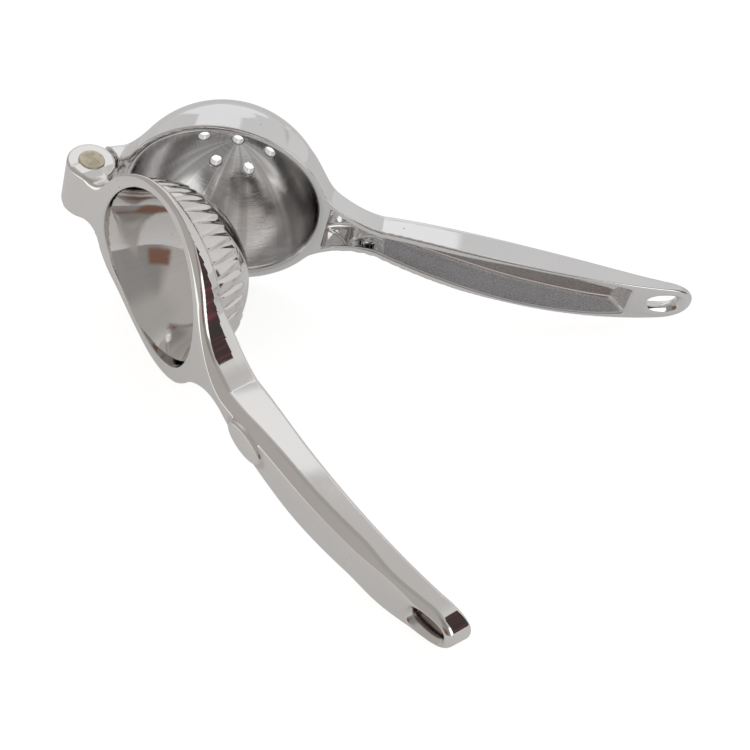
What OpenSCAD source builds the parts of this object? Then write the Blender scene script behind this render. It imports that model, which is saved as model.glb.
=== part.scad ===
// Hinged citrus press: a perforated bowl arm and a fluted dome arm on one pin.
// Each arm is drawn along +X from the hinge axis. The dome is pressed towards +Y,
// and the hinge axis is Z. The finished press lies open on its side, as on a table.

/* [Overall] */
// Hinge axis to the tip of the bowl arm, mm
cup_reach = 199.8; // [190:0.2:215]
// Hinge axis to the tip of the dome arm, mm
press_reach = 198.2; // [190:0.2:215]
// Angle between the arms as they lie, degrees
open_angle = 46.7; // [20:0.1:80]
// Gap between the two handles when closed, mm
handle_gap = 1.1; // [0.6:0.1:3]

/* [Bowl] */
// Hinge axis to the middle of the bowl, mm
bowl_x = 43.3; // [42:0.1:46]
// Height of the bowl rim above the hinge axis, mm
rim_y = 3.4; // [2.4:0.1:5]
// Inner radius of the bowl, mm
bowl_r = 30.7; // [30:0.1:32]
// Wall of the bowl, mm
bowl_wall = 2.6; // [1.8:0.1:3]
// Depth of the middle of the round bowl below its rim, mm
bowl_sink = 0.2; // [0:0.1:3]
// Bevel inside the rim, mm
rim_bevel = 1.3; // [0.5:0.1:2]
// Width of the flat rim, mm
rim_land = 2; // [1:0.1:3]
// Diameter of a drain hole, mm
drain_d = 3.7; // [2:0.1:5]
// Radius of the circle of drain holes, mm
drain_circle_r = 11.1; // [8:0.1:14]
// Number of drain holes in the circle
drain_count = 6; // [4:1:8]

/* [Hinge] */
// Radius of the round knuckle, mm
knuckle_r = 7.8; // [7.4:0.1:8.2]
// Width of the knuckle along the pin, mm
knuckle_w = 18.2; // [16:0.1:22]
// Width of the tongue between the ears, mm
tongue_w = 9.6; // [7:0.1:11]
// Play beside the tongue, mm
tongue_play = 0.3; // [0.2:0.05:0.6]
// Radius of the tongue round the pin, mm
tongue_r = 5.3; // [4.8:0.1:5.6]
// Gap round the tongue inside the knuckle, mm
tongue_gap = 0.4; // [0.3:0.1:0.6]
// Gap between the knuckle and the lug that turns round it, mm
lug_gap = 0.7; // [0.4:0.1:1]
// Height of the top of the lug above the hinge axis, mm
lug_top = 8.2; // [7.8:0.1:9]
// Radius of the pin, mm
pin_r = 3; // [2.5:0.05:3.4]
// Running clearance of the tongue on the pin, mm
pin_fit = 0.05; // [0.02:0.01:0.1]
// Clearance of the pin in the ears, mm
ear_fit = 0.02; // [0.01:0.01:0.05]
// Radius of the pin heads, mm
pin_head_r = 4.25; // [3.8:0.05:5]
// Height of the pin heads, mm
pin_head_h = 0.9; // [0.5:0.1:1.5]
// Bevel round the pin heads, mm
pin_head_bevel = 0.3; // [0.1:0.1:0.5]

/* [Press head] */
// Hinge axis to the middle of the dome, mm
dome_x = 43.6; // [43:0.1:45]
// Radius of the round dome, mm
dome_r = 30.2; // [29:0.1:30.4]
// Depth of the middle of the round dome behind the hinge axis, mm
dome_set = 4; // [3:0.1:6]
// Wall of the dome, mm
dome_wall = 2.6; // [2.2:0.1:3.5]
// Radius of the mouth of the hollow dome, mm
mouth_r = 28.6; // [27:0.1:29]
// Outer radius of the ring round the dome, mm
ring_r = 32.3; // [31.5:0.1:33]
// Front face of the ring in front of the hinge axis, mm
ring_front = 1.2; // [0.5:0.1:1.8]
// Back of the ring behind the hinge axis, where it is thinnest, mm
ring_back = 1.3; // [0.8:0.1:2.5]
// Hinge axis to the thinnest place of the ring, mm
ring_crown_x = 28; // [22:0.5:34]
// Number of ribs round the dome
rib_count = 40; // [24:1:44]
// Height of the ribs over the round dome, mm
rib_h = 0.8; // [0.4:0.1:1.2]
// Height above the hinge axis at which the ribs end, mm
rib_end = 14.4; // [11:0.1:17]
// Radius of the rounded ends of the ribs, mm
rib_nose_r = 1.3; // [1:0.1:1.6]
// Depth of the valleys between the ribs where they end, mm
valley_depth = 1.7; // [1:0.1:2]
// Angle between the two sides of a valley, degrees
valley_angle = 92; // [70:1:110]

/* [Handles] */
// Hinge axis to the narrow waist of the handles, mm
waist_x = 95; // [92:0.5:98]
// Half width of the handles at the waist, mm
waist_half = 4.9; // [4.4:0.1:6]
// Hinge axis to the widest part of the handles, mm
belly_x = 145; // [135:1:155]
// Half width of the handles at the widest part, mm
belly_half = 9.1; // [8:0.1:11]
// Half width of the handles where the end begins to round, mm
end_half = 7.8; // [7.4:0.1:9]
// Length of the rounded end of the handles, mm
end_l = 17; // [15:0.5:20]
// Height of the handle rims at the belly below the hinge axis, mm
belly_drop = 1.4; // [0:0.1:3]
// Hinge axis to the lowest place of the handle rims, mm
belly_low_x = 133; // [125:1:140]
// Rise of the rims from the belly to the tip, mm
tip_rise = 9.8; // [6:0.1:12]
// Back of the bowl handle at its root above the hinge axis, mm
cup_back_root = 13.4; // [12:0.1:15]
// Back of the bowl handle at the belly above the hinge axis, mm
cup_back_belly = 9.9; // [9:0.1:11]
// Back of the bowl handle at the tip above the hinge axis, mm
cup_back_tip = 11.5; // [11.4:0.1:13]
// Back of the dome handle behind the hinge axis at its deepest, mm
press_back_deep = 13.5; // [12:0.1:15]
// Hinge axis to the deepest place of the back of the dome handle, mm
press_deep_x = 108; // [100:1:115]
// Lift of the back of the dome handle at its tip, mm
press_tip_lift = 8.6; // [6:0.1:10]
// Draft of the sides of the handles over their depth, mm
side_draft = 0.5; // [0.2:0.1:1]
// Bevel along the backs of the handles, mm
back_bevel = 2.4; // [1:0.1:3]
// Rounding of the rims on their outer side, mm
rim_round = 0.5; // [0.2:0.1:0.8]

/* [Channels] */
// Wall beside the channels at the waist, mm
channel_wall_waist = 2.4; // [2:0.1:2.8]
// Wall beside the channels at the belly, mm
channel_wall_belly = 1.4; // [1.2:0.1:2]
// Draft of the channel walls, mm
channel_draft = 1.2; // [0.4:0.1:1.3]
// Floor of the channels, mm
channel_floor = 2; // [1.5:0.1:3]
// Wall between the bowl and the pocket beside it, mm
pocket_wall = 2.6; // [2.2:0.1:3.5]
// Step from the floor of the pocket up to the channel, mm
pocket_step = 1.2; // [0.6:0.1:2]
// Hinge axis to the step at the end of the pocket, mm
pocket_end_x = 97; // [94:0.5:100]
// Hang hole to the far end of the channel, mm
hang_wall = 4.5; // [3.5:0.1:8]
// Length of the slope at the far end of the channels, mm
channel_slope_l = 8; // [5:0.5:12]

/* [Hang holes] */
// Length of the hang holes, mm
hang_l = 10.7; // [8:0.1:11]
// Width of the hang holes, mm
hang_w = 5.8; // [4.4:0.1:6]
// Bevel round the hang hole of the bowl arm, mm
cup_hang_bevel = 1.2; // [0.5:0.1:1.6]
// Bevel round the hang hole of the dome arm, mm
press_hang_bevel = 1.8; // [0.5:0.1:2]
// Tip of an arm to the middle of its hang hole, mm
hang_from_tip = 10.4; // [9.5:0.1:12]
// Slope of the hang hole of the bowl arm, degrees
cup_hang_slope = 19; // [10:0.5:24]
// Slope of the hang hole of the dome arm, degrees
press_hang_slope = 12; // [5:0.5:16]

/* [Thumb pad] */
// Hinge axis to the middle of the thumb pad, mm
pad_x = 109; // [106:0.5:112]
// Length of the thumb pad, mm
pad_l = 15.4; // [10:0.2:18]
// Width of the thumb pad, mm
pad_w = 7.4; // [5:0.2:8]
// Height of the thumb pad, mm
pad_h = 1.3; // [0.5:0.1:2]

/* [Part] */
// Which piece to draw

/* [Hidden] */
$fn = 96;
// Overshoot of a cut past the face it opens, mm
cut = 1;
// Outer radius of the bowl
bowl_out_r = bowl_r + bowl_wall;
// Outer radius of the bowl rim
rim_r = bowl_r + rim_bevel + rim_land;
// Height of the middle of the round bowl
ball_y = rim_y + bowl_sink;
// Radius of the hollow in the lug
relief_r = knuckle_r + lug_gap;
// Radius of the pocket for the tongue in the knuckle
slot_r = tongue_r + tongue_gap;
// Width of the pocket for the tongue
slot_w = tongue_w + 2 * tongue_play;
// Half of the knuckle width
knuckle_half = knuckle_w / 2;

// Smooth climb from 0 to 1 between a and b
function climb(x, a, b) = (1 - cos(180 * min(1, max(0, (x - a) / (b - a))))) / 2;

// Each arm is described by its reach, the place and radius of its round head, and its side
CUP = [cup_reach, bowl_x, rim_r - 0.8, 1];
PRESS = [press_reach, dome_x, ring_r - 0.8, -1];
// Radius of the hollow curve between the round head and the waist, which touches both
function flare_r(arm) =
    (pow(waist_x - arm[1], 2) + pow(waist_half, 2) - pow(arm[2], 2)) / (2 * (arm[2] - waist_half));
// Place where that curve leaves the round head
function flare_x(arm) = arm[1] + arm[2] * (waist_x - arm[1]) / (arm[2] + flare_r(arm));

// Half width of a handle seen from the front
function half_width(x, arm) =
    let (s = arm[0] - end_l)
    x < flare_x(arm) ? half_width(flare_x(arm), arm) :
    x < waist_x ? waist_half + flare_r(arm) - sqrt(pow(flare_r(arm), 2) - pow(waist_x - x, 2)) :
    x < belly_x ? belly_half - (belly_half - waist_half) * pow((belly_x - x) / (belly_x - waist_x), 2.5) :
    x < s ? belly_half - (belly_half - end_half) * pow((x - belly_x) / (s - belly_x), 2) :
    end_half * sqrt(1 - 0.97 * pow((x - s) / end_l, 2));

// Height of the rims along the handles
function rim_line(x) =
    x < belly_low_x ? rim_y - (rim_y + belly_drop) * climb(x, bowl_x + bowl_r - 5, belly_low_x) :
    -belly_drop + tip_rise * pow((x - belly_low_x) / (cup_reach - belly_low_x), 2.2);
// Height of the back of the bowl handle
cup_root_x = bowl_x + bowl_r - 5;
cup_flat_x = cup_reach - 40;
function cup_back(x) =
    x < cup_flat_x ? cup_back_belly
        + (cup_back_root - cup_back_belly) * pow((cup_flat_x - x) / (cup_flat_x - cup_root_x), 2) :
    cup_back_belly + (cup_back_tip - cup_back_belly) * pow((x - cup_flat_x) / (cup_reach - cup_flat_x), 2);
// Height of the back of the dome arm, which arches over the ring
function press_back(x) =
    x < ring_crown_x ? -ring_back - (knuckle_r - ring_back) * climb(ring_crown_x - x, 0, ring_crown_x + 6) :
    -ring_back - (press_back_deep - ring_back) * climb(x, ring_crown_x, press_deep_x)
    + press_tip_lift * climb(x, press_deep_x + 20, press_reach + 8);
// Heights of the rims and of the back of an arm
function rims(x, arm) = arm[3] > 0 ? rim_line(x) : rim_line(x) - handle_gap;
function back(x, arm) = arm[3] > 0 ? cup_back(x) : press_back(x);

// Places along a handle at which its outline is drawn, closer together at the round end
function stations(from, reach) = concat(
    [for (i = [0 : 26]) from + (reach - end_l - from) * i / 26],
    [for (i = [1 : 6]) reach - end_l + end_l * sin(90 * i / 6)]);
// Width of the back bevel, which runs out at both ends of the handle
function bevel_at(x, arm, w) =
    min(0.4 * w, 0.3 + back_bevel * climb(x, waist_x - 18, waist_x - 2)
        * (1 - climb(x, arm[0] - 34, arm[0] - end_l - 2)));

// Outline of a handle across at x
function handle_section(x, arm) =
    let (w = half_width(x, arm), a = rims(x, arm), b = back(x, arm), c = bevel_at(x, arm, w))
    let (half = [
        [w - rim_round, a],
        [w, a + arm[3] * rim_round],
        [w, a + arm[3] * 2.4],
        [w - side_draft, b - arm[3] * c],
        [w - side_draft - c * 1.1, b]])
    concat([for (p = half) [x, p[1], p[0]]], [for (i = [4 : -1 : 0]) [x, half[i][1], -half[i][0]]]);

// Solid between sections that have the same number of points
module loft(sections, flip = false) {
    n = len(sections[0]);
    m = len(sections);
    points = [for (s = sections) each s];
    sides = [for (i = [0 : m - 2]) for (j = [0 : n - 1]) let (k = (j + 1) % n)
        each [[i * n + j, i * n + k, (i + 1) * n + k], [i * n + j, (i + 1) * n + k, (i + 1) * n + j]]];
    first = [for (j = [n - 1 : -1 : 0]) j];
    last = [for (j = [0 : n - 1]) (m - 1) * n + j];
    faces = concat(sides, [first, last]);
    polyhedron(points, flip ? [for (f = faces) [for (i = [len(f) - 1 : -1 : 0]) f[i]]] : faces);
}

// Turns what is drawn as radius and height round the pressing direction
module head_turn(x) {
    translate([x, 0, 0])
        rotate([-90, 0, 0])
            rotate_extrude()
                children();
}

// Outer form of a handle; it starts inside the round head
module handle(arm) {
    loft([for (x = stations(flare_x(arm) - 2, arm[0])) handle_section(x, arm)], arm[3] < 0);
}

// Half width of a channel at its mouth, from the wall beside it
function channel_half(x, arm) =
    half_width(x, arm) - channel_wall_waist
    + (channel_wall_waist - channel_wall_belly) * climb(x, waist_x + 20, belly_x);
// Far end of a channel, a wall short of the hang hole
function channel_end(arm) = arm[0] - hang_from_tip - hang_l / 2 - hang_wall;
// How far the floor of a channel has climbed its end slope that ends at x = e
function end_climb(x, e) =
    let (a = e - channel_slope_l, b = e + channel_slope_l * 0.4)
    climb(x, a, b) / climb(e, a, b);

// Outline of a channel across at x: open mouth, drafted walls, rounded floor corners
function channel_section(x, from, arm) =
    let (s = arm[3], a = rims(x, arm), e = channel_end(arm), t = (x - from) / (e - from))
    let (w = channel_half(x, arm) - 1.2 * pow(t, 14))
    let (step = pocket_step * (1 - climb(x, pocket_end_x - 3, pocket_end_x + 1)))
    let (low = back(x, arm) - s * (channel_floor - step))
    let (deep = low + (a - s * 0.5 - low) * pow(end_climb(x, e), 1.5), depth = s * (deep - a))
    let (d = min(channel_draft, 0.35 * w) / max(6, depth))
    let (r = min(0.8, 0.3 * w) * min(1, max(0.1, depth / 3)))
    [[x, a - s * cut, w + d * cut], [x, deep - s * r, w - d * (depth - r)], [x, deep, w - d * depth - r],
        [x, deep, r + d * depth - w], [x, deep - s * r, d * (depth - r) - w], [x, a - s * cut, -w - d * cut]];

// Channel along a handle with the deeper pocket beside the head
module channel(arm) {
    from = arm[1] + arm[2] + 0.8 - rim_land + pocket_wall - 0.6;
    n = 28;
    run = channel_end(arm) - from;
    loft([for (i = [0 : n]) channel_section(from + run * i / n, from, arm)], arm[3] < 0);
}

// Oval block along X from height 0 to h, wider by flare at the top
module oval(l, w, h, flare = 0) {
    for (s = [-1, 1])
        translate([s * (l - w) / 2, 0, 0])
            cylinder(h, w / 2, w / 2 + flare);
    translate([-(l - w) / 2, 0, 0])
        rotate([90, 0, 90])
            linear_extrude(l - w)
                polygon([[-w / 2, 0], [w / 2, 0], [w / 2 + flare, h], [-w / 2 - flare, h]]);
}

// Oval hang hole with a bevel round both of its mouths, leaning with the end of the handle
module hang_hole(arm, slope, bevel) {
    x = arm[0] - hang_from_tip;
    near = min(rims(x, arm), back(x, arm));
    deep = abs(rims(x, arm) - back(x, arm)) / cos(slope);
    translate([x, near, 0])
        rotate([0, 0, slope])
            rotate([90, 0, 0]) {
                translate([0, 0, -deep - cut])
                    oval(hang_l, hang_w, deep + 2 * cut);
                for (s = [0, 1])
                    translate([0, 0, -s * deep])
                        mirror([0, 0, s])
                            translate([0, 0, -bevel])
                                oval(hang_l, hang_w, bevel + cut, bevel + cut);
            }
}

// Outer form of the bowl: a ball with a cone that runs out to the rim
module bowl_outside() {
    lean = acos(bowl_out_r / norm([rim_r, bowl_sink])) - atan(bowl_sink / rim_r);
    touch = [bowl_out_r * cos(lean), ball_y + bowl_out_r * sin(lean)];
    head_turn(bowl_x) {
        intersection() {
            translate([0, ball_y])
                circle(bowl_out_r);
            translate([0, touch[1]])
                square([rim_r, bowl_out_r * 2]);
        }
        polygon([[0, rim_y], [rim_r, rim_y], touch, [0, touch[1]]]);
    }
}

// Hollow of the bowl with the bevel inside its rim
module bowl_inside() {
    head_turn(bowl_x) {
        intersection() {
            translate([0, ball_y])
                circle(bowl_r);
            translate([0, rim_y + rim_bevel])
                square(bowl_r * 2);
        }
        inner = sqrt(pow(bowl_r, 2) - pow(rim_bevel - bowl_sink, 2));
        polygon([
            [0, rim_y - cut], [bowl_r + rim_bevel + cut, rim_y - cut],
            [inner, rim_y + rim_bevel], [0, rim_y + rim_bevel]]);
    }
}

// Drain holes along the pressing direction, one in the middle and a circle of them round it
module drain_holes() {
    translate([bowl_x, ball_y, 0])
        rotate([-90, 0, 0]) {
            cylinder(h = bowl_out_r + cut, d = drain_d);
            for (i = [0 : drain_count - 1])
                rotate([0, 0, 360 * i / drain_count])
                    translate([drain_circle_r, 0, 0])
                        cylinder(h = bowl_out_r + cut, d = drain_d);
        }
}

// Lug between the hinge and the bowl, hollowed round the knuckle of the other arm
module lug() {
    bowl_edge = bowl_x - bowl_r;
    difference() {
        translate([0, 0, -knuckle_half])
            linear_extrude(knuckle_w)
                polygon([
                    [1.4, lug_top - 0.8], [2.7, lug_top], [5.7, lug_top + 1.3], [8.6, lug_top + 2.8],
                    [bowl_edge - 1, lug_top + 4.2], [bowl_edge + 1.4, lug_top + 6],
                    [bowl_edge + 1.4, rim_y + 0.2], [relief_r, rim_y + 0.2], [4, rim_y]]);
        translate([0, 0, -knuckle_half - cut])
            cylinder(h = knuckle_w + 2 * cut, r = relief_r);
    }
}

// Tongue round the pin, with its neck to the lug
module tongue() {
    translate([0, 0, -tongue_w / 2])
        linear_extrude(tongue_w) {
            circle(tongue_r);
            polygon([
                [0, 0], [tongue_r * cos(10), tongue_r * sin(10)], [relief_r + 1.2, rim_y + 0.5],
                [relief_r * cos(40) + 1, relief_r * sin(40) + 1],
                [relief_r * cos(58) + 0.4, relief_r * sin(58) + 0.6],
                [tongue_r * cos(68), tongue_r * sin(68)]]);
        }
}

// Back of the dome arm seen from the side, up to the front face of its ring
module press_side() {
    n = 30;
    polygon(concat(
        [[PRESS[1] + PRESS[2] + 1, ring_front], [0, ring_front]],
        [for (i = [0 : n]) let (x = (PRESS[1] + PRESS[2] + 1) * i / n) [x, press_back(x)]]));
}

// Dome arm seen from the front: ear, ring, and the small hollow curves where they meet
module press_front() {
    r = 2.5;
    x = dome_x - sqrt(pow(ring_r + r, 2) - pow(knuckle_half + r, 2));
    foot = [dome_x - (dome_x - x) * ring_r / (ring_r + r), (knuckle_half + r) * ring_r / (ring_r + r)];
    translate([dome_x, 0])
        circle(ring_r);
    difference() {
        polygon([
            [0, -knuckle_half], [x, -knuckle_half], [foot[0], -foot[1]], [dome_x, 0],
            foot, [x, knuckle_half], [0, knuckle_half]]);
        for (s = [-1, 1])
            translate([x, s * (knuckle_half + r)])
                circle(r);
    }
}

// Ring and ears: the side view and the front view cut from one block
module press_head() {
    intersection() {
        translate([0, 0, -ring_r - cut])
            linear_extrude(2 * (ring_r + cut))
                press_side();
        translate([0, ring_front + cut, 0])
            rotate([90, 0, 0])
                linear_extrude(press_back_deep + ring_front + 2 * cut)
                    press_front();
    }
    translate([0, 0, -knuckle_half])
        cylinder(h = knuckle_w, r = knuckle_r);
}

// Band of ribs round the dome with rounded ends
module ribs() {
    crest = dome_r + rib_h;
    rise = asin((rib_end + dome_set) / crest);
    nose = crest - rib_nose_r - 0.08;
    foot = [sqrt(pow(crest, 2) - pow(ring_front + dome_set, 2)) - 0.2, ring_front];
    tip = [(crest - valley_depth) * cos(rise), (crest - valley_depth) * sin(rise) - dome_set];
    run = tip - foot;
    difference() {
        head_turn(dome_x) {
            intersection() {
                translate([0, -dome_set])
                    circle(crest);
                polygon([
                    [0, ring_front - 0.8], [crest + cut, ring_front - 0.8],
                    [2 * crest * cos(rise), 2 * crest * sin(rise) - dome_set], [0, -dome_set]]);
            }
            translate([nose * cos(rise), nose * sin(rise) - dome_set])
                circle(rib_nose_r);
        }
        translate([dome_x, 0, 0])
            rotate([-90, 0, 0])
                for (i = [0 : rib_count - 1])
                    rotate([0, 0, 360 * (i + 0.5) / rib_count])
                        translate([foot[0], 0, foot[1]])
                            rotate([0, atan2(run[0], run[1]), 0])
                                translate([0, 0, -4])
                                    linear_extrude(norm(run) + 9)
                                        polygon([
                                            [0, 0], [8, -8 * tan(valley_angle / 2)],
                                            [8, 8 * tan(valley_angle / 2)]]);
    }
}

// Round dome on the ring
module dome() {
    head_turn(dome_x)
        intersection() {
            translate([0, -dome_set])
                circle(dome_r);
            translate([0, ring_front - 0.5])
                square(2 * dome_r);
        }
}

// Hollow of the dome, open at the back of the ring: a ball with a cone that runs out to the mouth
module dome_inside() {
    inner_r = dome_r - dome_wall;
    low = dome_set - ring_back;
    lean = acos(inner_r / norm([mouth_r, low])) + atan(low / mouth_r);
    touch = [inner_r * cos(lean), inner_r * sin(lean) - dome_set];
    head_turn(dome_x) {
        intersection() {
            translate([0, -dome_set])
                circle(inner_r);
            translate([0, touch[1]])
                square([touch[0], 2 * inner_r]);
        }
        polygon([
            [0, touch[1]], touch, [mouth_r, -ring_back],
            [mouth_r, -press_back_deep - cut], [0, -press_back_deep - cut]]);
    }
}

// Pocket in the knuckle in which the tongue swings, open towards the bowl arm
module tongue_pocket() {
    translate([0, 0, -slot_w / 2])
        linear_extrude(slot_w) {
            circle(slot_r);
            polygon([
                [0, 0], [slot_r, 0.3], [knuckle_r * 1.6, 0.6], [knuckle_r * 1.6, knuckle_r * 2],
                [-knuckle_r * 1.6, knuckle_r * 2], [-knuckle_r * 1.6, 0]]);
        }
}

// Raised oval pad on the back of the dome handle
module thumb_pad() {
    translate([pad_x, press_back(pad_x) + 1, 0])
        rotate([90, 0, 0])
            oval(pad_l, pad_w, 1 + pad_h, -0.4);
}

// Where the finished press touches the table: its round heads and both handles
function turned(p) = [
    p[0] * cos(open_angle) + p[1] * sin(open_angle), p[1] * cos(open_angle) - p[0] * sin(open_angle), p[2]];
bowl_feet = [for (a = [-110 : 0.5 : -60]) [bowl_x + rim_r * cos(a), rim_y, rim_r * sin(a)]];
ring_feet = [for (a = [-110 : 0.5 : -60]) turned([dome_x + ring_r * cos(a), ring_front, ring_r * sin(a)])];
function handle_feet(arm) =
    [for (x = stations(waist_x, arm[0])) for (p = handle_section(x, arm)) if (p[2] < 0) p];
cup_feet = handle_feet(CUP);
press_feet = [for (p = handle_feet(PRESS)) turned(p)];
function lowest(points, up) =
    let (h = [for (p = points) p * up], low = min(h))
    [for (i = [0 : len(h) - 1]) if (h[i] == low) points[i]][0];
function upright(v) = v / norm(v) * sign(v[2]);
function lie(up, n) =
    let (a = lowest(concat(bowl_feet, ring_feet), up), b = lowest(cup_feet, up), c = lowest(press_feet, up))
    n == 0 ? up : lie(upright(cross(b - a, c - a)), n - 1);
up = lie(upright([-0.18, 0.07, 1]), 6);
lean_x = atan2(up[1], up[2]);
lean_y = -asin(up[0]);
along = [cos(lean_y), sin(lean_y) * sin(lean_x), sin(lean_y) * cos(lean_x)];
across = cross(up, along);
table_z = lowest(concat(bowl_feet, ring_feet), up) * up;
// Middle of the finished press on the table
x_low = -knuckle_r * norm([along[0], along[1]]) - knuckle_half * abs(along[2]);
x_high = max([for (p = handle_section(cup_reach, CUP)) p * along]);
y_low = min([for (x = stations(belly_x, press_reach)) for (p = handle_section(x, PRESS)) turned(p) * across]);
y_high = [bowl_x, ball_y, 0] * across + bowl_out_r;
module on_table() {
    translate([-(x_low + x_high) / 2, -(y_low + y_high) / 2, -table_z])
        rotate([lean_x, lean_y, 0])
            children();
}
// Turns the dome arm from closed to its resting angle
module opened() {
    rotate([0, 0, -open_angle])
        children();
}

module cup_arm() {
    color("gainsboro")
        on_table()
            difference() {
                union() {
                    bowl_outside();
                    lug();
                    tongue();
                    handle(CUP);
                }
                bowl_inside();
                channel(CUP);
                drain_holes();
                hang_hole(CUP, cup_hang_slope, cup_hang_bevel);
                translate([0, 0, -knuckle_half])
                    cylinder(h = knuckle_w, r = pin_r + pin_fit);
            }
}

module press_arm() {
    color("silver")
        on_table()
            opened()
                difference() {
                    union() {
                        press_head();
                        dome();
                        ribs();
                        handle(PRESS);
                        thumb_pad();
                    }
                    dome_inside();
                    channel(PRESS);
                    tongue_pocket();
                    hang_hole(PRESS, press_hang_slope, press_hang_bevel);
                    translate([0, 0, -knuckle_half - cut])
                        cylinder(h = knuckle_w + 2 * cut, r = pin_r + ear_fit);
                }
}

module hinge_pin() {
    color("darkkhaki")
        on_table()
            for (s = [0, 1])
                mirror([0, 0, s]) {
                    cylinder(h = knuckle_half, r = pin_r);
                    translate([0, 0, knuckle_half]) {
                        cylinder(h = pin_head_h - pin_head_bevel, r = pin_head_r);
                        translate([0, 0, pin_head_h - pin_head_bevel])
                            cylinder(pin_head_bevel, pin_head_r, pin_head_r - pin_head_bevel);
                    }
                }
}

cup_arm();
press_arm();
hinge_pin();
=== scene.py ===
import bmesh
import bpy
import numpy as np
from mathutils import Matrix


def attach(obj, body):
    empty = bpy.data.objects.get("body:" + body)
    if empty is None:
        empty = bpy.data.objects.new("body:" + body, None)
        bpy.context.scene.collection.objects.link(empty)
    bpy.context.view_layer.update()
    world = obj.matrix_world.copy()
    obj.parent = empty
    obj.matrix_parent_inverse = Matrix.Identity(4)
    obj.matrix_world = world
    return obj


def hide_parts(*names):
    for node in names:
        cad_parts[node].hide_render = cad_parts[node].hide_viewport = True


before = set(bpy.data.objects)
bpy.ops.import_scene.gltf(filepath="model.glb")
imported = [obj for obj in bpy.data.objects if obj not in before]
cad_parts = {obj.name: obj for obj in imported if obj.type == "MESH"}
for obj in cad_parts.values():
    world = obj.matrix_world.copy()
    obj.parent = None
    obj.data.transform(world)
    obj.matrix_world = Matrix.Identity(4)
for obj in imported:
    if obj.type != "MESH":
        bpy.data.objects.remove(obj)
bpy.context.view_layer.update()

# Camera: its place and lens follow from the outlines of the bowl rim, the pin and both handles.
# It looks down on the open press from the front, with the hinge at the left.
camera = bpy.data.objects.new("camera", bpy.data.cameras.new("camera"))
camera.data.lens = 108.52
camera.data.sensor_width = 36
camera.data.clip_start = 0.05
camera.matrix_world = Matrix((
    (0.994084, -0.096241, 0.050342, 0.039358),
    (0.103460, 0.698006, -0.708579, -0.489182),
    (0.033057, 0.709596, 0.703834, 0.507904),
    (0, 0, 0, 1)))
bpy.context.scene.collection.objects.link(camera)
bpy.context.scene.camera = camera
bpy.context.scene.view_settings.view_transform = "Standard"

# Room: a plain studio with grey walls. Behind the press are a white wall and a screen, at the right a bright
# strip beside a dark gap with red folds, and in front some brown. They show only in the chrome, and the camera
# sees plain white. Places are in degrees: round about from +Y towards +X, and height from the horizon.


class Wire:
    """A socket of a node tree. Expressions on wires add their maths nodes."""

    def __init__(self, tree, socket=None):
        self.tree, self.socket = tree, socket

    def node(self, kind, settings=None, inputs=None, out=0):
        made = self.tree.nodes.new(kind)
        for name, value in (settings or {}).items():
            if name == "stops":
                ramp = made.color_ramp
                while len(ramp.elements) < len(value):
                    ramp.elements.new(1)
                for element, (place, shade) in zip(ramp.elements, value):
                    element.position = place
                    element.color = (*shade, 1)
            else:
                setattr(made, name, value)
        for name, value in (inputs or {}).items():
            if isinstance(value, Wire):
                self.tree.links.new(value.socket, made.inputs[name])
            else:
                made.inputs[name].default_value = value
        return Wire(self.tree, made.outputs[out] if made.outputs else None)

    def maths(self, operation, *values):
        return self.node("ShaderNodeMath", {"operation": operation}, dict(enumerate(values)))

    def __add__(self, other): return self.maths("ADD", self, other)
    def __radd__(self, other): return self.maths("ADD", other, self)
    def __sub__(self, other): return self.maths("SUBTRACT", self, other)
    def __rsub__(self, other): return self.maths("SUBTRACT", other, self)
    def __mul__(self, other): return self.maths("MULTIPLY", self, other)
    def __rmul__(self, other): return self.maths("MULTIPLY", other, self)
    def __truediv__(self, other): return self.maths("DIVIDE", self, other)
    def __rtruediv__(self, other): return self.maths("DIVIDE", other, self)


def step_up(value, low, high):
    """0 below low, 1 above high, and a soft step between."""
    return value.node("ShaderNodeMapRange", {"interpolation_type": "SMOOTHSTEP"}, {0: value, 1: low, 2: high})


def within(value, low, high, soft):
    """1 between low and high, and 0 outside."""
    return step_up(value, low - soft, low + soft) * (1 - step_up(value, high - soft, high + soft))


def blend(under, over, share):
    """Two colours mixed by a share from 0 to 1."""
    return share.node("ShaderNodeMix", {"data_type": "RGBA"}, {0: share, 6: under, 7: over}, out=2)


world = bpy.data.worlds.new("studio")
bpy.context.scene.world = world
world.use_nodes = True
world.node_tree.nodes.clear()
room = Wire(world.node_tree)
degrees = 57.2958
way = room.node("ShaderNodeTexCoord", out="Generated")
way_x, way_y, way_z = (room.node("ShaderNodeSeparateXYZ", None, {0: way}, out=axis) for axis in range(3))
round_about = way_x.maths("ARCTAN2", way_x, way_y) * degrees
height = way_z.maths("ARCSINE", way_z) * degrees
walls = room.node("ShaderNodeValToRGB", {"stops": [
    (0.00, (0.25, 0.24, 0.23)), (0.05, (0.42, 0.40, 0.38)), (0.15, (0.42, 0.395, 0.375)), (0.34, (0.42, 0.40, 0.385)),
    (0.39, (0.59, 0.58, 0.575)), (0.56, (0.62, 0.61, 0.61)), (0.70, (0.70, 0.70, 0.69)), (0.82, (0.55, 0.54, 0.54)),
    (0.87, (0.50, 0.49, 0.48)), (0.90, (0.28, 0.27, 0.26)), (0.97, (0.25, 0.24, 0.235))]},
    {0: round_about / 360 + 0.5})
ceiling = blend(walls, (0.37, 0.355, 0.34, 1), step_up(height, 50, 76))
sway = (room.node("ShaderNodeTexNoise", None, {"Vector": way, "Scale": 5.0, "Detail": 2.0}) - 0.5) * 9
back_wall = blend(ceiling, (0.80, 0.80, 0.81, 1),
                  within(round_about + sway * 2, -24, 9, 1.5) * within(height + sway, -3, 36, 1.5))
screen_white = (0.86, 0.86, 0.86, 1)
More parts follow.
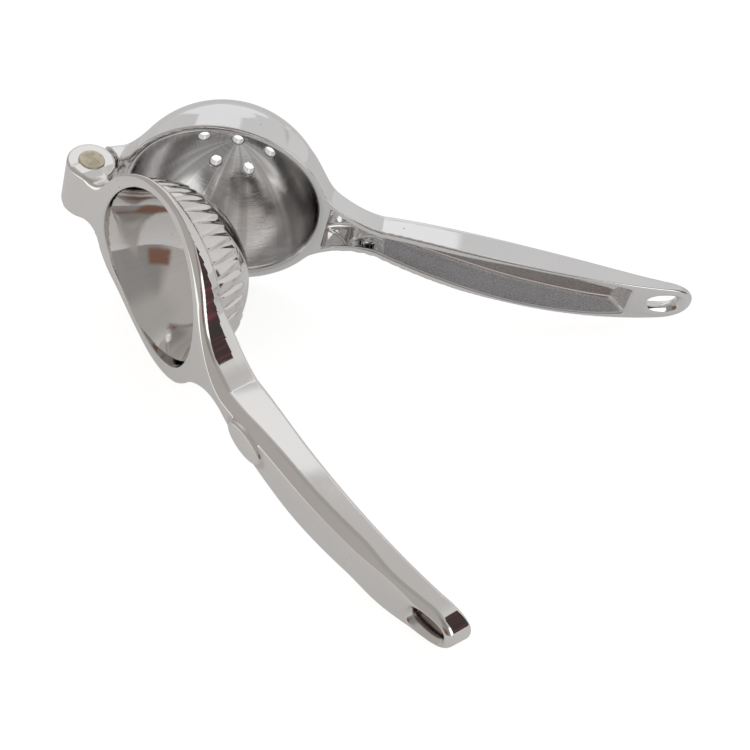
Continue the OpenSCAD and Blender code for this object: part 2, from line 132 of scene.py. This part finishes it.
screen = blend(back_wall, screen_white, within(round_about + sway, -25, 11, 1) * within(height, 42, 57, 1))
screen = blend(screen, screen_white, within(round_about, 5, 32, 2) * within(height + sway * 0.5, 50, 57, 1))
strip = blend(screen, (1.5, 1.5, 1.47, 1), within(round_about + sway, 115, 143, 1.5) * within(height, -14, 36, 4))
folds = room.node("ShaderNodeTexNoise", None, {
    "Vector": room.node("ShaderNodeCombineXYZ", None, {0: round_about * 0.4, 1: height * 0.022}),
    "Scale": 1.0, "Detail": 1.0, "Distortion": 0.7})
cloth = blend((0.05, 0.042, 0.04, 1), (0.17, 0.05, 0.06, 1), within(folds, 0.50, 0.55, 0.015))
gap = blend(strip, cloth, within(round_about, 82, 114, 1) * within(height, -16, 56, 2))
brown = blend(gap, (0.19, 0.105, 0.075, 1), within(round_about.maths("ABSOLUTE", round_about), 166, 190, 3)
              * within(height, 2, 24, 3))
seen = room.node("ShaderNodeLightPath", out="Is Camera Ray")
shown = blend(brown, (1, 1, 1, 1), seen)
light = room.node("ShaderNodeBackground", None, {0: shown, 1: 1.0})
room.node("ShaderNodeOutputWorld", None, {0: light})

# Table: a plain white sheet of paper under the press, which keeps its soft shadow. In the chrome it is pale, with
# a brighter pool of light painted on it to the left of the press.


def blank(name):
    """A new material without nodes, and a wire into it."""
    made = bpy.data.materials.new(name)
    made.use_nodes = True
    made.node_tree.nodes.clear()
    return made, Wire(made.node_tree)


table_half = 0.45
table = bpy.data.objects.new("table", bpy.data.meshes.new("table"))
sheet = bmesh.new()
bmesh.ops.create_grid(sheet, x_segments=1, y_segments=1, size=table_half)
sheet.to_mesh(table.data)
sheet.free()
bpy.context.scene.collection.objects.link(table)
paper, p = blank("paper")
matte = p.node("ShaderNodeBsdfDiffuse", None, {0: (0.6, 0.6, 0.6, 1)})
white = p.node("ShaderNodeEmission", None, {0: (1, 1, 1, 1), 1: 0.80})
on_table = p.node("ShaderNodeTexCoord", out="Object")
spot_x, spot_y = (p.node("ShaderNodeSeparateXYZ", None, {0: on_table}, out=axis) for axis in range(2))
# painted pool of light on the sheet, which only the chrome sees
painted_light_pool = blend((0.27, 0.27, 0.27, 1), (0.9, 0.89, 0.87, 1),
             within(spot_x, -0.36, -0.165, 0.01) * within(spot_y, -0.16, -0.005, 0.01))
pale = p.node("ShaderNodeEmission", None, {0: painted_light_pool, 1: 1.0})
in_chrome = p.node("ShaderNodeMixShader", None, {
    0: p.node("ShaderNodeLightPath", out="Is Glossy Ray"), 1: matte,
    2: p.node("ShaderNodeAddShader", None, {0: matte, 1: pale})})
both = p.node("ShaderNodeAddShader", None, {0: matte, 1: white})
pick = p.node("ShaderNodeMixShader", None, {
    0: p.node("ShaderNodeLightPath", out="Is Camera Ray"), 1: in_chrome, 2: both})
p.node("ShaderNodeOutputMaterial", None, {0: pick})
table.data.materials.append(paper)


# Bowl arm: one die casting of zinc alloy, polished and chrome plated: the drained bowl, the lug and tongue of
# the hinge, and the handle with its open channel. Its form is written in mm from the middle of the hinge pin,
# with x along the handle, y towards the foot of the bowl and z along the pin.
hinge_turn = np.array(((0.982694, 0.0144651, 0.184669), (0, 0.996946, -0.0780907), (-0.185234, 0.0767393, 0.979694)))
hinge_place = np.array((-93.7009, 55.2283, 41.6592))
knuckle_half, pin_r, tongue_r, tongue_half, lug_clear = 9.1, 3.05, 5.3, 4.8, 8.5
handle_x, waist_x, belly_x = 69, 95, 145
# waist, belly and end are half widths, end_long is the length of the round end, head_draft is how much the head
# narrows to its back, and back_way says on which side of the rims the back lies
bowl_arm = {"reach": 199.8, "head_x": 43.3, "head_r": 33.2, "waist": 5.9, "belly": 9.35, "end": 7.2,
            "end_long": 11, "head_draft": 1.5, "back_way": 1}
bowl_x, bowl_y, bowl_in, bowl_out, rim_y, rim_in, rim_out = 43.3, 3.6, 30.7, 33.5, 3.4, 32.0, 34.0
rim_low_x, rim_low, back_flat_x, back_flat = 133, -1.4, 159.8, 9.9
channel_wall, channel_floor, channel_draft = 2.4, 2, 1.2
hole_from_tip, hole_half, hole_wall = 10.4, 5.35, 4.5
drain_circle, drain_r, drain_drop = 11.1, 1.85, 0.4
bowl_hole = {"middle": (189.6, 8.05), "slope": 19, "long": 10.8, "wide": 5.6}


def join(a, b, soft):
    """Two forms run into each other with a hollow curve."""
    h = np.maximum(soft - np.abs(a - b), 0) / soft
    return np.minimum(a, b) - h * h * soft / 4


def trim(a, b, soft):
    """What two forms share, with the edge between them rounded."""
    return -join(-a, -b, soft)


def carve(a, b, soft):
    """A form with another taken out of it, with a rounded edge."""
    return -join(-a, b, soft)


def slant(a, b, share=1.0):
    """A face that leans from one face towards another."""
    return (a + share * b) / np.hypot(1, share)


def climb(x, a, b):
    """A smooth rise from 0 at a to 1 at b."""
    return (1 - np.cos(np.pi * np.clip((x - a) / (b - a), 0, 1))) / 2


def rise(curve, x):
    """How much a slope stretches a height over it."""
    return np.sqrt(1 + ((curve(x + 0.05) - curve(x - 0.05)) / 0.1) ** 2)


def between(x, y, corners):
    """Distance to a flat form with straight sides, whose corners run anticlockwise."""
    f = np.full_like(x, -1e9)
    for (ax, ay), (bx, by) in zip(corners, corners[1:] + corners[:1]):
        f = np.maximum(f, ((x - ax) * (by - ay) - (y - ay) * (bx - ax)) / np.hypot(bx - ax, by - ay))
    return f


def flare_of(arm):
    """Radius of the hollow curve from the head into the waist, and where it leaves the head."""
    head_x, head_r, waist = arm["head_x"], arm["head_r"], arm["waist"]
    flare = ((waist_x - head_x) ** 2 + waist ** 2 - head_r ** 2) / (2 * (head_r - waist))
    return flare, head_x + head_r * (waist_x - head_x) / (head_r + flare)


def half_width(x, arm):
    """Half width of a handle: narrow at the waist, wide at the belly, a little less before the round end."""
    waist, belly, end = arm["waist"], arm["belly"], arm["end"]
    flare, start = flare_of(arm)
    tail = arm["reach"] - arm["end_long"]
    x = np.clip(x, start, tail)
    near = waist + flare - np.sqrt(flare ** 2 - np.clip(waist_x - x, -0.99 * flare, 0.99 * flare) ** 2)
    middle = belly - (belly - waist) * np.clip((belly_x - x) / (belly_x - waist_x), 0, 1) ** 2.5
    far = belly - (belly - end) * np.clip((x - belly_x) / (tail - belly_x), 0, 1) ** 2
    return np.where(x < waist_x, near, np.where(x < belly_x, middle, far))


def rim_line(x):
    """Height of the bowl arm's rims, which dip to the belly and rise to the tip."""
    near = rim_y - (rim_y - rim_low) * climb(x, handle_x, rim_low_x)
    far = rim_low + 9.8 * (np.maximum(x - rim_low_x, 0) / (bowl_arm["reach"] - rim_low_x)) ** 2.2
    return np.where(x < rim_low_x, near, far)


def bowl_back(x):
    """Height of the back of the bowl arm's handle."""
    near = back_flat + 3.5 * np.clip((back_flat_x - x) / (back_flat_x - handle_x), 0, 2) ** 2
    return np.where(x < back_flat_x, near, back_flat + 1.6 * (np.maximum(x - back_flat_x, 0) / 40) ** 2)


def handle_side(x, z, depth, arm):
    """Distance outwards from the sides and the round end of a handle; depth runs from 0 at the rims to 1."""
    tail, end, end_long = arm["reach"] - arm["end_long"], arm["end"], arm["end_long"]
    wide = lambda q: half_width(q, arm)
    draft = depth * (0.5 + (arm["head_draft"] - 0.5) * (1 - climb(x, 72, 100)))
    side = (np.abs(z) - wide(x) + draft) / rise(wide, x)
    head_x, head_r, waist = arm["head_x"], arm["head_r"], arm["waist"]
    flare = flare_of(arm)[0]
    bend = flare - np.hypot(x - waist_x, np.abs(z) - waist - flare) + draft
    side = np.where(x < waist_x, bend, side)
    away = np.maximum(x - tail, 0)
    long, broad = end_long * 1.01, end - draft
    q = (away / long) ** 2.3 + (np.abs(z) / broad) ** 2.3 + 1e-9
    size = np.hypot((away / long) ** 1.3 / long, (np.abs(z) / broad) ** 1.3 / broad) + 1e-9
    tip = (q - q ** (1.3 / 2.3)) / size
    beyond = (x - head_x) * (waist + flare) > np.abs(z) * (waist_x - head_x)
    return np.where(x > tail, tip, np.where(beyond, side, np.hypot(x - head_x, z) - head_r + draft))


def channel_side(z, w, below, deep):
    """Distance outwards from the drafted side walls of a channel that is w from its middle line at the rims."""
    return np.abs(z) - w + np.minimum(channel_draft, 0.35 * w) * below / np.maximum(6, deep)


def channel(x, y, z, arm, rims, back):
    """Space of the open channel, with the deeper pocket beside the head."""
    s = arm["back_way"]
    start = arm["head_x"] + arm["head_r"] + 0.8
    end = arm["reach"] - hole_from_tip - hole_half - hole_wall
    t = np.clip((x - start) / (end - start), 0, 1.05)
    w = half_width(x, arm) - channel_wall + climb(x, waist_x + 20, belly_x) - 1.2 * t ** 14

    def floor(q):
        slope = climb(q, end - 8, end + 3.2) / climb(end, end - 8, end + 3.2)
        low = back(q) - s * (channel_floor - 1.2 * (1 - climb(q, 94, 98)))
        return low + (rims(q) - s * 0.5 - low) * slope ** 1.5
    deep = s * (floor(x) - rims(x))
    below = s * (y - rims(x))
    f = trim(channel_side(z, w, below, deep), s * (y - floor(x)) / rise(floor, x), 1.8)
    return trim(f, start - x, 1.2)


def hang_hole(x, y, z, middle, slope, long, wide):
    """Oval hang hole: distance from its wall, and height along it from its middle."""
    s, c = np.sin(np.radians(slope)), np.cos(np.radians(slope))
    dx, dy = x - middle[0], y - middle[1]
    a, b = np.abs(dx * c + dy * s) / (long / 2), np.abs(z) / (wide / 2)
    q = (a ** 2.4 + b ** 2.4) ** (1 / 2.4) + 1e-9
    steep = np.hypot((a / q) ** 1.4 / (long / 2), (b / q) ** 1.4 / (wide / 2))
    return (q - 1) / np.maximum(steep, 2 / long), dy * c - dx * s


def bowl_form(x, y, z):
    rims, back = rim_line, bowl_back
    top = (rims(x) - y) / rise(rims, x)
    under = (y - back(x)) / rise(back, x)
    # bowl: a ball with a cone that runs out to the rim
    r = np.hypot(x - bowl_x, z)
    ball = np.hypot(r, y - bowl_y)
    low = bowl_y - rim_y
    lean = np.arccos(bowl_out / np.hypot(rim_out, low)) - np.arctan(low / rim_out)
    nx, ny = np.cos(lean), np.sin(lean)
    along = -(r - bowl_out * nx) * ny + (y - bowl_y - bowl_out * ny) * nx
    outside = np.where(along < 0, r * nx + (y - bowl_y) * ny - bowl_out, ball - bowl_out)
    # handle
    depth = np.clip((y - rims(x)) / (back(x) - rims(x)), 0, 1)
    side = handle_side(x, z, depth, bowl_arm)
    edge = 0.3 + 1.4 * climb(x, 77, 93) - 0.5 * climb(x, 178, 192)
    grip = trim(side, under, 1.2)
    grip = trim(grip, slant(side + edge, under), 1.0)
    grip = np.maximum(grip, 60 - x)
    body = join(outside, grip, 0.4 + 4 * depth)
    # lug
    lug = trim(slant(y - 8.2, x - 2.7, -0.485), np.abs(z) - knuckle_half, 1.4)
    lug = np.maximum(lug, x - 22)
    body = join(body, lug, 4)
    body = trim(body, lug_clear - np.hypot(x, y), 0.6)
    body = trim(body, top, 0.7 + 0.6 * climb(x, 186, 197))
    tongue = np.minimum(np.hypot(x, y) - tongue_r, between(x, y, [
        (0, 0), (5.22, 0.92), (9.7, 3.9), (7.51, 6.46), (4.9, 7.81), (1.99, 4.91)]))
    body = join(body, trim(tongue, np.abs(z) - tongue_half, 0.5), 0.5)
    # hollow, channel and holes
    hollow = join(ball - bowl_in, slant(r - rim_in, y - rim_y), 0.5)
    body = carve(body, hollow, 0.8)
    body = carve(body, channel(x, y, z, bowl_arm, rims, back), 0.8)
    for out, turn in [(0, 0)] + [(drain_circle, turn) for turn in range(0, 360, 60)]:
        hx, hz = out * np.cos(np.radians(turn)), out * np.sin(np.radians(turn))
        drain = np.where(y > 20, np.hypot(x - bowl_x - hx, z - hz + drain_drop) - drain_r, 9)
        body = carve(body, drain, 0.5)
    oval, up = hang_hole(x, y, z, **bowl_hole)
    body = carve(body, oval, 0.5)
    body = carve(body, slant(oval - 1.5, up + 2.6, 1.1), 0.6)
    body = carve(body, slant(oval - 1.5, 2.6 - up, 0.9), 0.8)
    body = carve(body, np.hypot(x, y) - pin_r, 0.3)
    return body


def cast(name, node, form, unturn, marks=None, voxel=0.45, faces=190000):
    """A smooth casting: the CAD piece's own mesh, remade in even faces and drawn onto the rounded form.

    unturn brings points of the frame, in mm, to the form's own axes. marks are attributes for the material."""
    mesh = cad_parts[node].data.copy()
    piece = bpy.data.objects.new(name, mesh)
    bpy.context.scene.collection.objects.link(piece)
    b = bmesh.new()
    b.from_mesh(mesh)
    bmesh.ops.remove_doubles(b, verts=b.verts, dist=2e-6)
    b.to_mesh(mesh)
    b.free()
    even = piece.modifiers.new("even", "REMESH")
    even.mode, even.voxel_size = "VOXEL", voxel / 1000

    def settle():
        made = bpy.data.meshes.new_from_object(piece.evaluated_get(bpy.context.evaluated_depsgraph_get()))
        piece.modifiers.clear()
        old, piece.data = piece.data, made
        bpy.data.meshes.remove(old)

    def value(points):
        return form(*unturn(points).T)

    def slope(points, step=0.01):
        """Which way the form's value rises, and how fast, from four points round each point."""
        ways = np.array(((1, 1, 1), (1, -1, -1), (-1, 1, -1), (-1, -1, 1))) * step
        return sum(value(points + way)[:, None] * way for way in ways) / (4 * step ** 2)

    def draw_on(rounds, longest=0.6):
        data = piece.data
        co = np.empty(len(data.vertices) * 3)
        data.vertices.foreach_get("co", co)
        points = co.reshape(-1, 3) * 1000
        for _ in range(rounds):
            f, g = value(points), slope(points)
            size = np.maximum((g ** 2).sum(1), 0.2)
            step = g * (f / size)[:, None]
            far = np.linalg.norm(step, axis=1)
            points -= step * np.minimum(1, longest / np.maximum(far, 1e-9))[:, None]
        data.vertices.foreach_set("co", (points / 1000).ravel())
        data.update()
        return points

    def even_out(times):
        b = bmesh.new()
        b.from_mesh(piece.data)
        for _ in range(times):
            bmesh.ops.smooth_vert(b, verts=b.verts, factor=0.5, use_axis_x=True, use_axis_y=True, use_axis_z=True)
        b.to_mesh(piece.data)
        b.free()

    settle()
    draw_on(4)
    for _ in range(2):
        even_out(2)
        points = draw_on(2)
    count = sum(len(f.vertices) - 2 for f in piece.data.polygons)
    if count > faces:
        fewer = piece.modifiers.new("fewer", "DECIMATE")
        fewer.ratio = faces / count
        settle()
        points = draw_on(2)
    data = piece.data
    normals = slope(points)
    normals /= np.maximum(np.linalg.norm(normals, axis=1), 1e-9)[:, None]
    data.polygons.foreach_set("use_smooth", [True] * len(data.polygons))
    data.normals_split_custom_set_from_vertices(normals.tolist())
    here = unturn(points)
    # a crest has less metal than behind a flat face; a hollow corner, darkened with painted shade, has less air
    probe = 0.8
    rules = {"crest": lambda *_: (value(points - probe * normals) + probe) / 0.4,
             "nook": lambda *_: (probe - value(points + probe * normals)) / 0.5, **(marks or {})}
    for label, rule in rules.items():
        layer = data.attributes.new(label, "FLOAT", "POINT")
        layer.data.foreach_set("value", np.clip(rule(*here.T), -9, 9).astype(np.float32))
    return piece


micron = 0.000001


def chrome(name, tint, dull, middle, axis, highlight_way, satin_and_highlight_share):
    """Polished plating. Attributes say where it is satin, as cast or on a crest, and where shade is painted in: dark
    on the walls of the hang hole, and brownish in hollow corners.

    middle and axis place the polishing rings of the cup, the argument after them points the painted highlight
    streaks inside it, and the last says how much brushing and painted highlight there is."""
    finish, c = blank(name)
    place = c.node("ShaderNodeTexCoord", out="Object")
    noise = lambda scale, detail=3.0, **more: c.node(
        "ShaderNodeTexNoise", None, {"Vector": place, "Scale": scale, "Detail": detail, **more})
    # a mark that a piece has no attribute for reads 0
    mark = lambda label: step_up(c.node("ShaderNodeAttribute", {"attribute_name": label}, out="Fac"), 0, 1)
    satin, matte, bore, nook, crest = mark("satin") * satin_and_highlight_share, mark("matte"), mark("bore"), mark("nook"), mark("crest")
    cloud, smear, grain = noise(45.0), noise(160.0, 5.0, Distortion=1.5), noise(2600.0, 2.0)
    pits = c.node("ShaderNodeTexVoronoi", None, {"Vector": place, "Scale": 330.0}, out="Distance")
    sparse = step_up(noise(70.0), 0.60, 0.66)
    pit = (1 - step_up(pits, 0.05, 0.10)) * sparse
    # rings left by polishing the cup on a wheel
    vector = lambda operation, a, b=None, out=0: c.node(
        "ShaderNodeVectorMath", {"operation": operation}, {0: a} if b is None else {0: a, 1: b}, out)
    axis, highlight_way = hinge_turn @ np.array(axis), hinge_turn @ np.array(highlight_way)
    from_middle = vector("SUBTRACT", place, (hinge_turn @ np.array(middle) + hinge_place) / 1000)
    deep = vector("DOT_PRODUCT", from_middle, axis, "Value")
    rings = c.node("ShaderNodeTexNoise", {"noise_dimensions": "1D"}, {
        "W": deep * 5200 + noise(110.0) * 5 + smear * 1.2, "Scale": 1.0, "Detail": 4.0})
    broad = c.node("ShaderNodeTexNoise", {"noise_dimensions": "1D"}, {"W": deep * 260 + cloud * 3, "Scale": 1.0})
    # painted highlight streaks that run from the middle out to the rim, brightest along one given way
    outward = vector("NORMALIZE", vector("SUBTRACT", from_middle, vector("PROJECT", from_middle, axis)))
    highlight_lobe = vector("DOT_PRODUCT", outward, highlight_way, "Value")
    highlight_lobe = highlight_lobe.maths("ABSOLUTE", highlight_lobe)
    rays = c.node("ShaderNodeTexNoise", None, {"Vector": outward, "Scale": 3.2, "Detail": 5.0, "Roughness": 0.7})
    painted_streak = step_up(rays + step_up(highlight_lobe, 0.55, 0.98) * 0.22, 0.48, 0.72)

    shade = blend((*[t * 0.93 for t in tint], 1), (*tint, 1), cloud)
    # inside the cup: painted highlight streaks, bright on a darker brushed tone
    shade = blend(shade, blend((0.44, 0.43, 0.43, 1), (0.93, 0.92, 0.92, 1), painted_streak), satin * (0.55 + rings * 0.6))
    shade = blend(shade, blend((0.58, 0.58, 0.60, 1), (0.88, 0.88, 0.89, 1), step_up(grain, 0.35, 0.65)), matte)
    # painted shade: hollow corners darkened towards brown
    shade = blend(shade, (0.42, 0.32, 0.26, 1), nook * 0.45 * (0.4 + smear))
    # painted shade: the wall of the hang hole made dark
    shade = blend(shade, blend((0.13, 0.11, 0.10, 1), (0.34, 0.30, 0.27, 1), cloud), bore)
    shade = blend(shade, (0.10, 0.09, 0.085, 1), pit * 0.8)
    rough = dull + step_up(smear, 0.48, 0.75) * 0.07 + cloud * 0.02 + satin * (0.05 + broad * 0.09) * (1.3 - painted_streak) \
        + matte * 0.30 + bore * 0.2 + nook * 0.10 + crest * 0.03 + pit * 0.3
    heights = noise(75.0, 1.0) * 22 + noise(330.0, 1.0) * 1.6 + grain * matte * 6 + rings * satin * 26 \
        + broad * satin * 14 - pit * 20 + smear * 0.6
    bump = c.node("ShaderNodeBump", None, {"Height": heights, "Distance": micron, "Strength": 1.0})
    shader = c.node("ShaderNodeBsdfPrincipled", None, {
        "Base Color": shade, "Metallic": 1.0, "Roughness": rough, "Normal": bump})
    c.node("ShaderNodeOutputMaterial", None, {0: shader})
    return finish


def bowl_satin(x, y, z):
    """Inside of the bowl, brushed rather than bright."""
    ball = np.sqrt((x - bowl_x) ** 2 + z ** 2 + (y - bowl_y) ** 2)
    return np.minimum((bowl_in + 0.7 - ball) / 0.4, (y - rim_y - 0.5) / 0.5)


def wall_matte(x, y, z):
    """The side walls of the channel, left as cast; the floor is polished."""
    below, deep = y - rim_line(x), bowl_back(x) - channel_floor - rim_line(x)
    w = half_width(x, bowl_arm) - channel_wall + climb(x, waist_x + 20, belly_x)
    side = channel_side(z, w, below, deep)
    return np.minimum.reduce([side + 1.0, 1.0 - side, below - 0.5, deep - below + 0.8, x - 97]) / 0.4


def to_hinge(q):
    return (q - hinge_place) @ hinge_turn


bowl_piece = cast("bowl_casting", "cup_arm", bowl_form, to_hinge, {"satin": bowl_satin, "matte": wall_matte})
bowl_piece.data.materials.clear()
bowl_piece.data.materials.append(chrome(
    "bowl_chrome", (0.90, 0.90, 0.90), 0.025, (bowl_x, bowl_y, 0), (0, 1, 0), (0.57, 0, -0.82), 1.0))
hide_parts("cup_arm")
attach(bowl_piece, "bowl_arm")

# Dome arm: the other casting, plated the same: the ear block that holds the pin, the ring, the fluted dome
# that presses the fruit, and a handle with a closed back. It is drawn closed and turned open by 46.7 degrees.
open_angle = np.radians(46.7)
open_cos, open_sin = np.cos(open_angle), np.sin(open_angle)
knuckle_r, slot_r, slot_half = 7.8, 5.7, 5.1
dome_arm = {"reach": 196.6, "head_x": 43.6, "head_r": 32.3, "waist": 4.9, "belly": 8.9, "end": 7.2,
            "end_long": 12, "head_draft": 0, "back_way": -1}
dome_x, dome_y, dome_out, dome_in, ring_front, mouth_r, land_y = 43.6, -4.0, 30.2, 27.6, 1.2, 28.6, -1.3
flutes, flute_top, flute_from, flute_to, flute_end = 40, dome_out + 0.8, 9.7, 36.4, 1.3
pad_x, pad_long, pad_wide, pad_proud = 110.3, 8.6, 4.5, 1.5
dome_hole = {"middle": (187.3, -1.1), "slope": 12, "long": 10.8, "wide": 5.6}


def dome_back(x):
    """Height of the back of the dome arm: the ear block, the land round the hollow, and the handle."""
    near = land_y - 6.5 * climb(28 - x, 0, 34)
    far = land_y - 12.2 * climb(x, 28, 108) + 8.6 * climb(x, 128, 206.2) + 1.7 * climb(x, 166, 200)
    return np.where(x < 28, near, far)


def dome_rims(x):
    return rim_line(x) - 1.1


def dome_form(x, y, z):
    back = dome_back
    front = lambda q: ring_front + (dome_rims(q) - ring_front) * climb(q, 70, 82)
    over = (back(x) - y) / rise(back, x)
    under = (y - front(x)) / rise(front, x)
    r = np.hypot(x - dome_x, z)
    # outline from the front: ear block, ring and handle
    shoulder = knuckle_half - 0.2 * np.maximum(x - 3.8, 0) * (1 - climb(x, 9, 16))
    ear = trim(np.abs(z) - shoulder, x - 40, 1)
    depth = np.clip((y - dome_rims(x)) / (back(x) - dome_rims(x)), 0, 1)
    at_ring = (1 - climb(x, 66, 92)) * climb(x, 4, 20)
    side = handle_side(x, z + 0.6 * at_ring, depth, dome_arm)
    # the flank of the ring leans out towards the back, where a shallow facet runs round outside the flat land
    lean = 1.8 * np.clip((ring_front - y) / 3.6, 0, 1) * at_ring
    outline = join(side - lean, ear, 7)
    body = trim(outline, under, 1.0)
    edge = 0.3 + 1.4 * climb(x, 18, 36) + 0.9 * climb(x, 76, 92) - 1.4 * climb(x, 158, 174) + 1.0 * climb(x, 174, 190)
    body = trim(body, slant(outline + edge, over), 0.8)
    shallow = 3.0 - 3.4 * climb(x, 70, 86) - 3.4 * (1 - climb(x, 4, 16))
    body = trim(body, slant(over, outline + shallow, 0.36), 0.7)
    body = trim(body, over, 0.7)
    body = np.maximum(body, -x)
    knuckle = trim(np.hypot(x, y) - knuckle_r, np.abs(z) - shoulder, 1.0)
    body = join(body, knuckle, 1.5)
    # dome and its flutes, which deepen towards their rounded ends
    ball = np.hypot(r, y - dome_y)
    lift = np.degrees(np.arcsin(np.clip((y - dome_y) / np.maximum(ball, 1), -1, 1)))
    turn = np.arctan2(z, x - dome_x) * flutes / (2 * np.pi)
    offset = np.abs(turn - np.floor(turn) - 0.5) * 2 * np.pi / flutes * r
    deep = 0.2 + 1.5 * np.clip((lift - flute_from) / (flute_to - flute_from), 0, 1.2)
    flute = join(np.full_like(x, flute_top), flute_top - deep + offset / 1.04, 0.9)
    past = np.radians(lift - flute_to) * flute_top
    band = flute_end - np.sqrt(np.maximum(flute_end ** 2 - np.clip(past + flute_end, 0, flute_end) ** 2, 0))
    band = np.where(past > 0, 3.0, band)
    ribs = (ball - (flute - band)) * 0.8
    head = join(ball - dome_out, ribs, 0.35)
    body = join(body, np.maximum(head, 0.4 - y), 0.9)
    # pad on the back
    across = np.hypot((x - pad_x) / pad_long, z / pad_wide)
    pad = trim((across - 1) * pad_wide, back(np.full_like(x, pad_x)) - pad_proud + 0.45 * across ** 2 - y, 0.9)
    body = join(body, np.maximum(pad, y + 8), 0.8)
    # hollow with its mouth, channel, tongue slot and holes
    low = land_y - dome_y
    lean = np.arccos(dome_in / np.hypot(mouth_r, low)) + np.arctan(low / mouth_r)
    nx, ny = np.cos(lean), np.sin(lean)
    along = -(r - dome_in * nx) * ny + (y - dome_y - dome_in * ny) * nx
    hollow = np.where(along < 0, r * nx + (y - dome_y) * ny - dome_in, ball - dome_in)
    hollow = np.where(y < land_y, r - mouth_r, hollow)
    body = carve(body, hollow, 0.6)
    body = carve(body, channel(x, y, z, dome_arm, dome_rims, back), 0.8)
    slot = np.minimum(np.hypot(x, y) - slot_r, between(x, y, [
        (-12.5, 0), (0, 0), (5.7, 0.3), (12.5, 0.6), (12.5, 15.6), (-12.5, 15.6)]))
    body = carve(body, trim(slot, np.abs(z) - slot_half, 0.5), 0.6)
    oval, up = hang_hole(x, y, z, **dome_hole)
    body = carve(body, oval, 0.6)
    body = carve(body, slant(oval - 1.9, up + 3.4, 0.7), 0.8)
    body = carve(body, slant(oval - 0.6, 3.6 - up, 0.9), 0.8)
    body = carve(body, np.hypot(x, y) - pin_r, 0.3)
    return body


def to_closed(q):
    """Points of the open dome arm, brought to the closed press."""
    h = to_hinge(q)
    return np.stack((h[:, 0] * open_cos - h[:, 1] * open_sin, h[:, 0] * open_sin + h[:, 1] * open_cos, h[:, 2]), 1)


def dome_satin(x, y, z):
    """Inside of the hollow dome."""
    ball = np.sqrt((x - dome_x) ** 2 + z ** 2 + (y - dome_y) ** 2)
    return np.minimum((dome_in + 0.7 - ball) / 0.4, (y - dome_back(x) - 0.6) / 0.5)


def dome_painted_bore_shade(x, y, z):
    """Wall of the hang hole, darkened with painted shade."""
    oval = hang_hole(x, y, z, **dome_hole)[0]
    return np.minimum((0.75 - np.abs(oval)) / 0.3, (x - 160) / 5)


dome_piece = cast("dome_casting", "press_arm", dome_form, to_closed, {"satin": dome_satin, "bore": dome_painted_bore_shade})
dome_piece.data.materials.clear()
dome_piece.data.materials.append(chrome(
    "dome_chrome", (0.90, 0.885, 0.87), 0.03,
    (dome_x * open_cos + dome_y * open_sin, dome_y * open_cos - dome_x * open_sin, 0),
    (open_sin, open_cos, 0), (0, 0, 1), 0.15))
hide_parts("press_arm")
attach(dome_piece, "dome_arm")

# Pin: a soft brass rivet through the ears, its two heads spread by the rivet press and left unplated.
# Its faces are a little crowned, hammered and dull, with lighter metal round the edge.
pin_shank, pin_shank_half, pin_head, pin_top = 3.0, 9.5, 4.25, 10.0


def pin_form(x, y, z):
    r = np.hypot(x, y)
    head = trim(r - pin_head, np.abs(z) - pin_top + 0.012 * r ** 2, 0.7)
    shank = np.maximum(r - pin_shank, np.abs(z) - pin_shank_half)
    return np.minimum(trim(head, knuckle_half - np.abs(z), 0.1), shank)


def brass(name):
    """Dull, blotchy brass, a little brighter on the edges."""
    finish, m = blank(name)
    place = m.node("ShaderNodeTexCoord", out="Object")
    blotch = m.node("ShaderNodeTexNoise", None, {"Vector": place, "Scale": 420.0, "Detail": 5.0, "Distortion": 0.8})
    fine = m.node("ShaderNodeTexNoise", None, {"Vector": place, "Scale": 1900.0, "Detail": 3.0})
    crest = m.node("ShaderNodeAttribute", {"attribute_name": "crest"}, out="Fac")
    shade = blend((0.40, 0.345, 0.25, 1), (0.66, 0.59, 0.45, 1), step_up(blotch, 0.36, 0.66))
    shade = blend(shade, (0.25, 0.20, 0.14, 1), step_up(fine, 0.62, 0.78) * 0.6)
    shade = blend(shade, (0.80, 0.74, 0.60, 1), crest * 0.25)
    bump = m.node("ShaderNodeBump", None, {"Height": blotch * 30 + fine * 5, "Distance": micron, "Strength": 1.0})
    shader = m.node("ShaderNodeBsdfPrincipled", None, {
        "Base Color": shade, "Metallic": 1.0, "Roughness": 0.27 + blotch * 0.16, "Normal": bump})
    m.node("ShaderNodeOutputMaterial", None, {0: shader})
    return finish


pin_piece = cast("rivet_pin", "hinge_pin", pin_form, to_hinge, voxel=0.25, faces=40000)
pin_piece.data.materials.clear()
pin_piece.data.materials.append(brass("rivet_brass"))
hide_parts("hinge_pin")
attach(pin_piece, "dome_arm")
